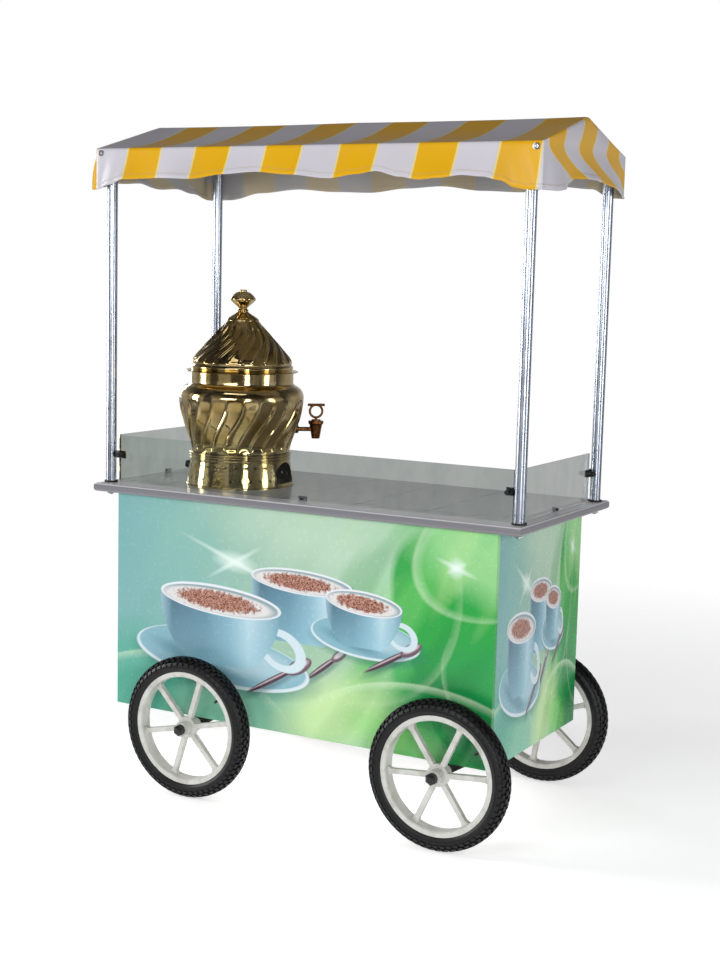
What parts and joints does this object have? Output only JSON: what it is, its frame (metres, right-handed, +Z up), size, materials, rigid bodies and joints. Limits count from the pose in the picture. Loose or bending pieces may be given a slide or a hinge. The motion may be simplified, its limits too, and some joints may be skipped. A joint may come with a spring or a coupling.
{
  "type": "push vending cart",
  "caption": "Wheeled drinks cart: printed cabinet with sliding rear doors, counter with a glass guard, a brass urn with a tap, and a striped gable canopy on posts.",
  "frame": {"origin": "on the floor under the middle of the counter", "axes": "+X along the cart towards the end with no urn, +Y towards the operator's side, +Z up"},
  "size_m": [1.404, 0.8276, 1.9495],
  "materials": {
    "printed_board": "board with a glossy printed film in pale teal and green",
    "white_board": "white melamine on board",
    "counter_laminate": "satin grey laminate with shallow plank grooves",
    "door_sheet": "white compact sheet",
    "track_aluminium": "drawn channel",
    "axle_steel": "bright bar",
    "black_steel": "black enamel",
    "zinc_steel": "zinc plated",
    "rim_plastic": "moulded white",
    "tyre_rubber": "knobbed black rubber",
    "post_chrome": "bright tube",
    "collar_rubber": "soft black",
    "guard_glass": "clear float glass",
    "clip_chrome": "bright plate",
    "black_plastic": "moulded black",
    "frame_steel": "zinc plated tube",
    "striped_fabric": "coated cloth in yellow and white stripes",
    "urn_brass": "polished sheet brass with swirl flutes",
    "tap_bronze": "dark cast bronze",
    "burner_iron": "plain cast iron"
  },
  "bodies": {
    "cart": {"axle_brackets": "black_steel", "axle_left": "axle_steel", "axle_nuts": "black_steel", "axle_right": "axle_steel", "axle_spacers": "axle_steel", "bracket_bolts": "zinc_steel", "burner": "burner_iron", "cabinet_divider": "white_board", "cabinet_floor": "white_board", "cabinet_front": "printed_board", "cabinet_left": "printed_board", "cabinet_right": "printed_board", "canopy_cover": "striped_fabric", "clip_screws": "black_plastic", "corner_fittings": "frame_steel", "counter": "counter_laminate", "cover_screws": "zinc_steel", "cross_rails": "frame_steel", "door_track_bottom": "track_aluminium", "door_track_top": "track_aluminium", "eave_rail_front": "frame_steel", "eave_rail_rear": "frame_steel", "gable_bars": "frame_steel", "glass_clips": "clip_chrome", "glass_front": "guard_glass", "glass_knobs": "black_plastic", "glass_left": "guard_glass", "glass_right": "guard_glass", "glass_tabs": "clip_chrome", "post_collars": "collar_rubber", "post_front_left": "post_chrome", "post_front_right": "post_chrome", "post_nuts": "zinc_steel", "post_rear_left": "post_chrome", "post_rear_right": "post_chrome", "rear_frame": "white_board", "ridge_pole": "frame_steel", "shelf": "white_board", "shelf_cleats": "white_board", "urn_stand": "urn_brass"},
    "wheel_front_left": {"rim_front_left": "rim_plastic", "tyre_front_left": "tyre_rubber", "bearings_front_left": "axle_steel"},
    "wheel_front_right": {"rim_front_right": "rim_plastic", "tyre_front_right": "tyre_rubber", "bearings_front_right": "axle_steel"},
    "wheel_rear_left": {"rim_rear_left": "rim_plastic", "tyre_rear_left": "tyre_rubber", "bearings_rear_left": "axle_steel"},
    "wheel_rear_right": {"rim_rear_right": "rim_plastic", "tyre_rear_right": "tyre_rubber", "bearings_rear_right": "axle_steel"},
    "left_door": {"door_left": "door_sheet"},
    "right_door": {"door_right": "door_sheet"},
    "urn": {"urn_body": "urn_brass", "tap": "tap_bronze"},
    "lid": {"urn_lid": "urn_brass", "lid_finial": "urn_brass"},
    "tap_handle": {"tap_key": "tap_bronze"},
    "gas_knob": {"burner_knob": "black_plastic"}
  },
  "joints": [
    {"name": "front_left_wheel_spin", "type": "hinge", "parent": "cart", "child": "wheel_front_left", "pos_m": [-0.315, -0.3575, 0.2065], "axis": [0, 1, 0], "continuous": true},
    {"name": "front_right_wheel_spin", "type": "hinge", "parent": "cart", "child": "wheel_front_right", "pos_m": [0.495, -0.3575, 0.2065], "axis": [0, 1, 0], "continuous": true},
    {"name": "rear_left_wheel_spin", "type": "hinge", "parent": "cart", "child": "wheel_rear_left", "pos_m": [-0.315, 0.3575, 0.2065], "axis": [0, 1, 0], "continuous": true},
    {"name": "rear_right_wheel_spin", "type": "hinge", "parent": "cart", "child": "wheel_rear_right", "pos_m": [0.495, 0.3575, 0.2065], "axis": [0, 1, 0], "continuous": true},
    {"name": "left_door_slide", "type": "slide", "parent": "cart", "child": "left_door", "axis": [1, 0, 0], "range_m": [0, 0.545]},
    {"name": "right_door_slide", "type": "slide", "parent": "cart", "child": "right_door", "axis": [1, 0, 0], "range_m": [-0.545, 0]},
    {"name": "urn_lift", "type": "slide", "parent": "cart", "child": "urn", "axis": [0, 0, 1], "range_m": [0, 0.2]},
    {"name": "lid_lift", "type": "slide", "parent": "urn", "child": "lid", "axis": [0, 0, 1], "range_m": [0, 0.15]},
    {"name": "tap_turn", "type": "hinge", "parent": "urn", "child": "tap_handle", "pos_m": [-0.17311, 0.09391, 1.065], "axis": [0, 0, 1], "range_deg": [-90, 0]},
    {"name": "gas_knob_turn", "type": "hinge", "parent": "cart", "child": "gas_knob", "pos_m": [-0.527, -0.052, 0.929], "axis": [-1, 0, 0], "range_deg": [0, 90]}
  ]
}
